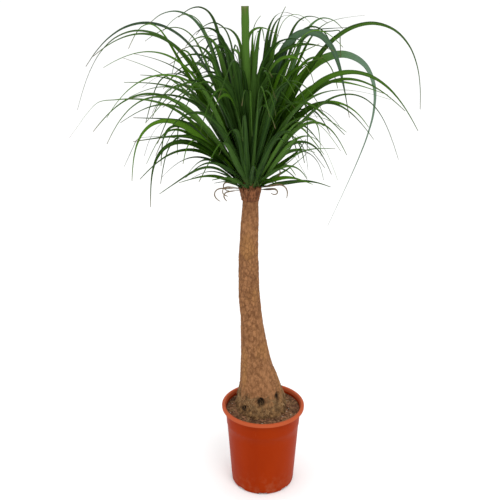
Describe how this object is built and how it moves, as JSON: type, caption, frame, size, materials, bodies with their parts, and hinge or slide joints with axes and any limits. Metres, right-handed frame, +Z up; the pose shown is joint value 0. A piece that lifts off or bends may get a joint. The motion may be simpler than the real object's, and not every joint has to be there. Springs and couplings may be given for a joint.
{
  "type": "potted ponytail palm",
  "caption": "House plant: a tall bare trunk swollen at its foot, in soil in a round nursery pot, with a crown of long arching strap leaves at the top.",
  "frame": {"origin": "centre of the pot's underside, where the pot stands on the floor", "axes": "+Z up along the pot's axis; +X to the viewer's right and -Y towards the viewer in the view the plant is shown from"},
  "size_m": [0.8995, 0.7454, 1.3627],
  "materials": {
    "pot_plastic": "satin",
    "soil": "matte",
    "bark": "matte",
    "dry_leaf": "matte",
    "leaf": "satin"
  },
  "bodies": {
    "root": {"pot": "pot_plastic", "potting_soil": "soil", "trunk": "bark", "dry_leaf_collar": "dry_leaf", "leaf_01": "leaf", "leaf_02": "leaf", "leaf_03": "leaf", "leaf_04": "leaf", "leaf_05": "leaf", "leaf_06": "leaf", "leaf_07": "leaf", "leaf_08": "leaf", "leaf_09": "leaf", "leaf_10": "leaf", "leaf_11": "leaf", "leaf_12": "leaf", "leaf_13": "leaf", "leaf_14": "leaf", "leaf_15": "leaf", "leaf_16": "leaf", "leaf_17": "leaf", "leaf_18": "leaf", "leaf_19": "leaf", "leaf_20": "leaf", "leaf_21": "leaf", "leaf_22": "leaf", "leaf_23": "leaf", "leaf_24": "leaf", "leaf_25": "leaf", "leaf_26": "leaf", "leaf_27": "leaf", "leaf_28": "leaf", "leaf_29": "leaf", "leaf_30": "leaf", "leaf_31": "leaf", "leaf_32": "leaf", "leaf_33": "leaf", "leaf_34": "leaf", "leaf_35": "leaf", "leaf_36": "leaf", "leaf_37": "leaf", "leaf_38": "leaf", "leaf_39": "leaf", "leaf_40": "leaf", "leaf_41": "leaf", "leaf_42": "leaf", "leaf_43": "leaf", "leaf_44": "leaf", "leaf_45": "leaf", "leaf_46": "leaf", "leaf_47": "leaf", "leaf_48": "leaf", "leaf_49": "leaf", "leaf_50": "leaf", "leaf_51": "leaf", "leaf_52": "leaf"}
  },
  "joints": []
}
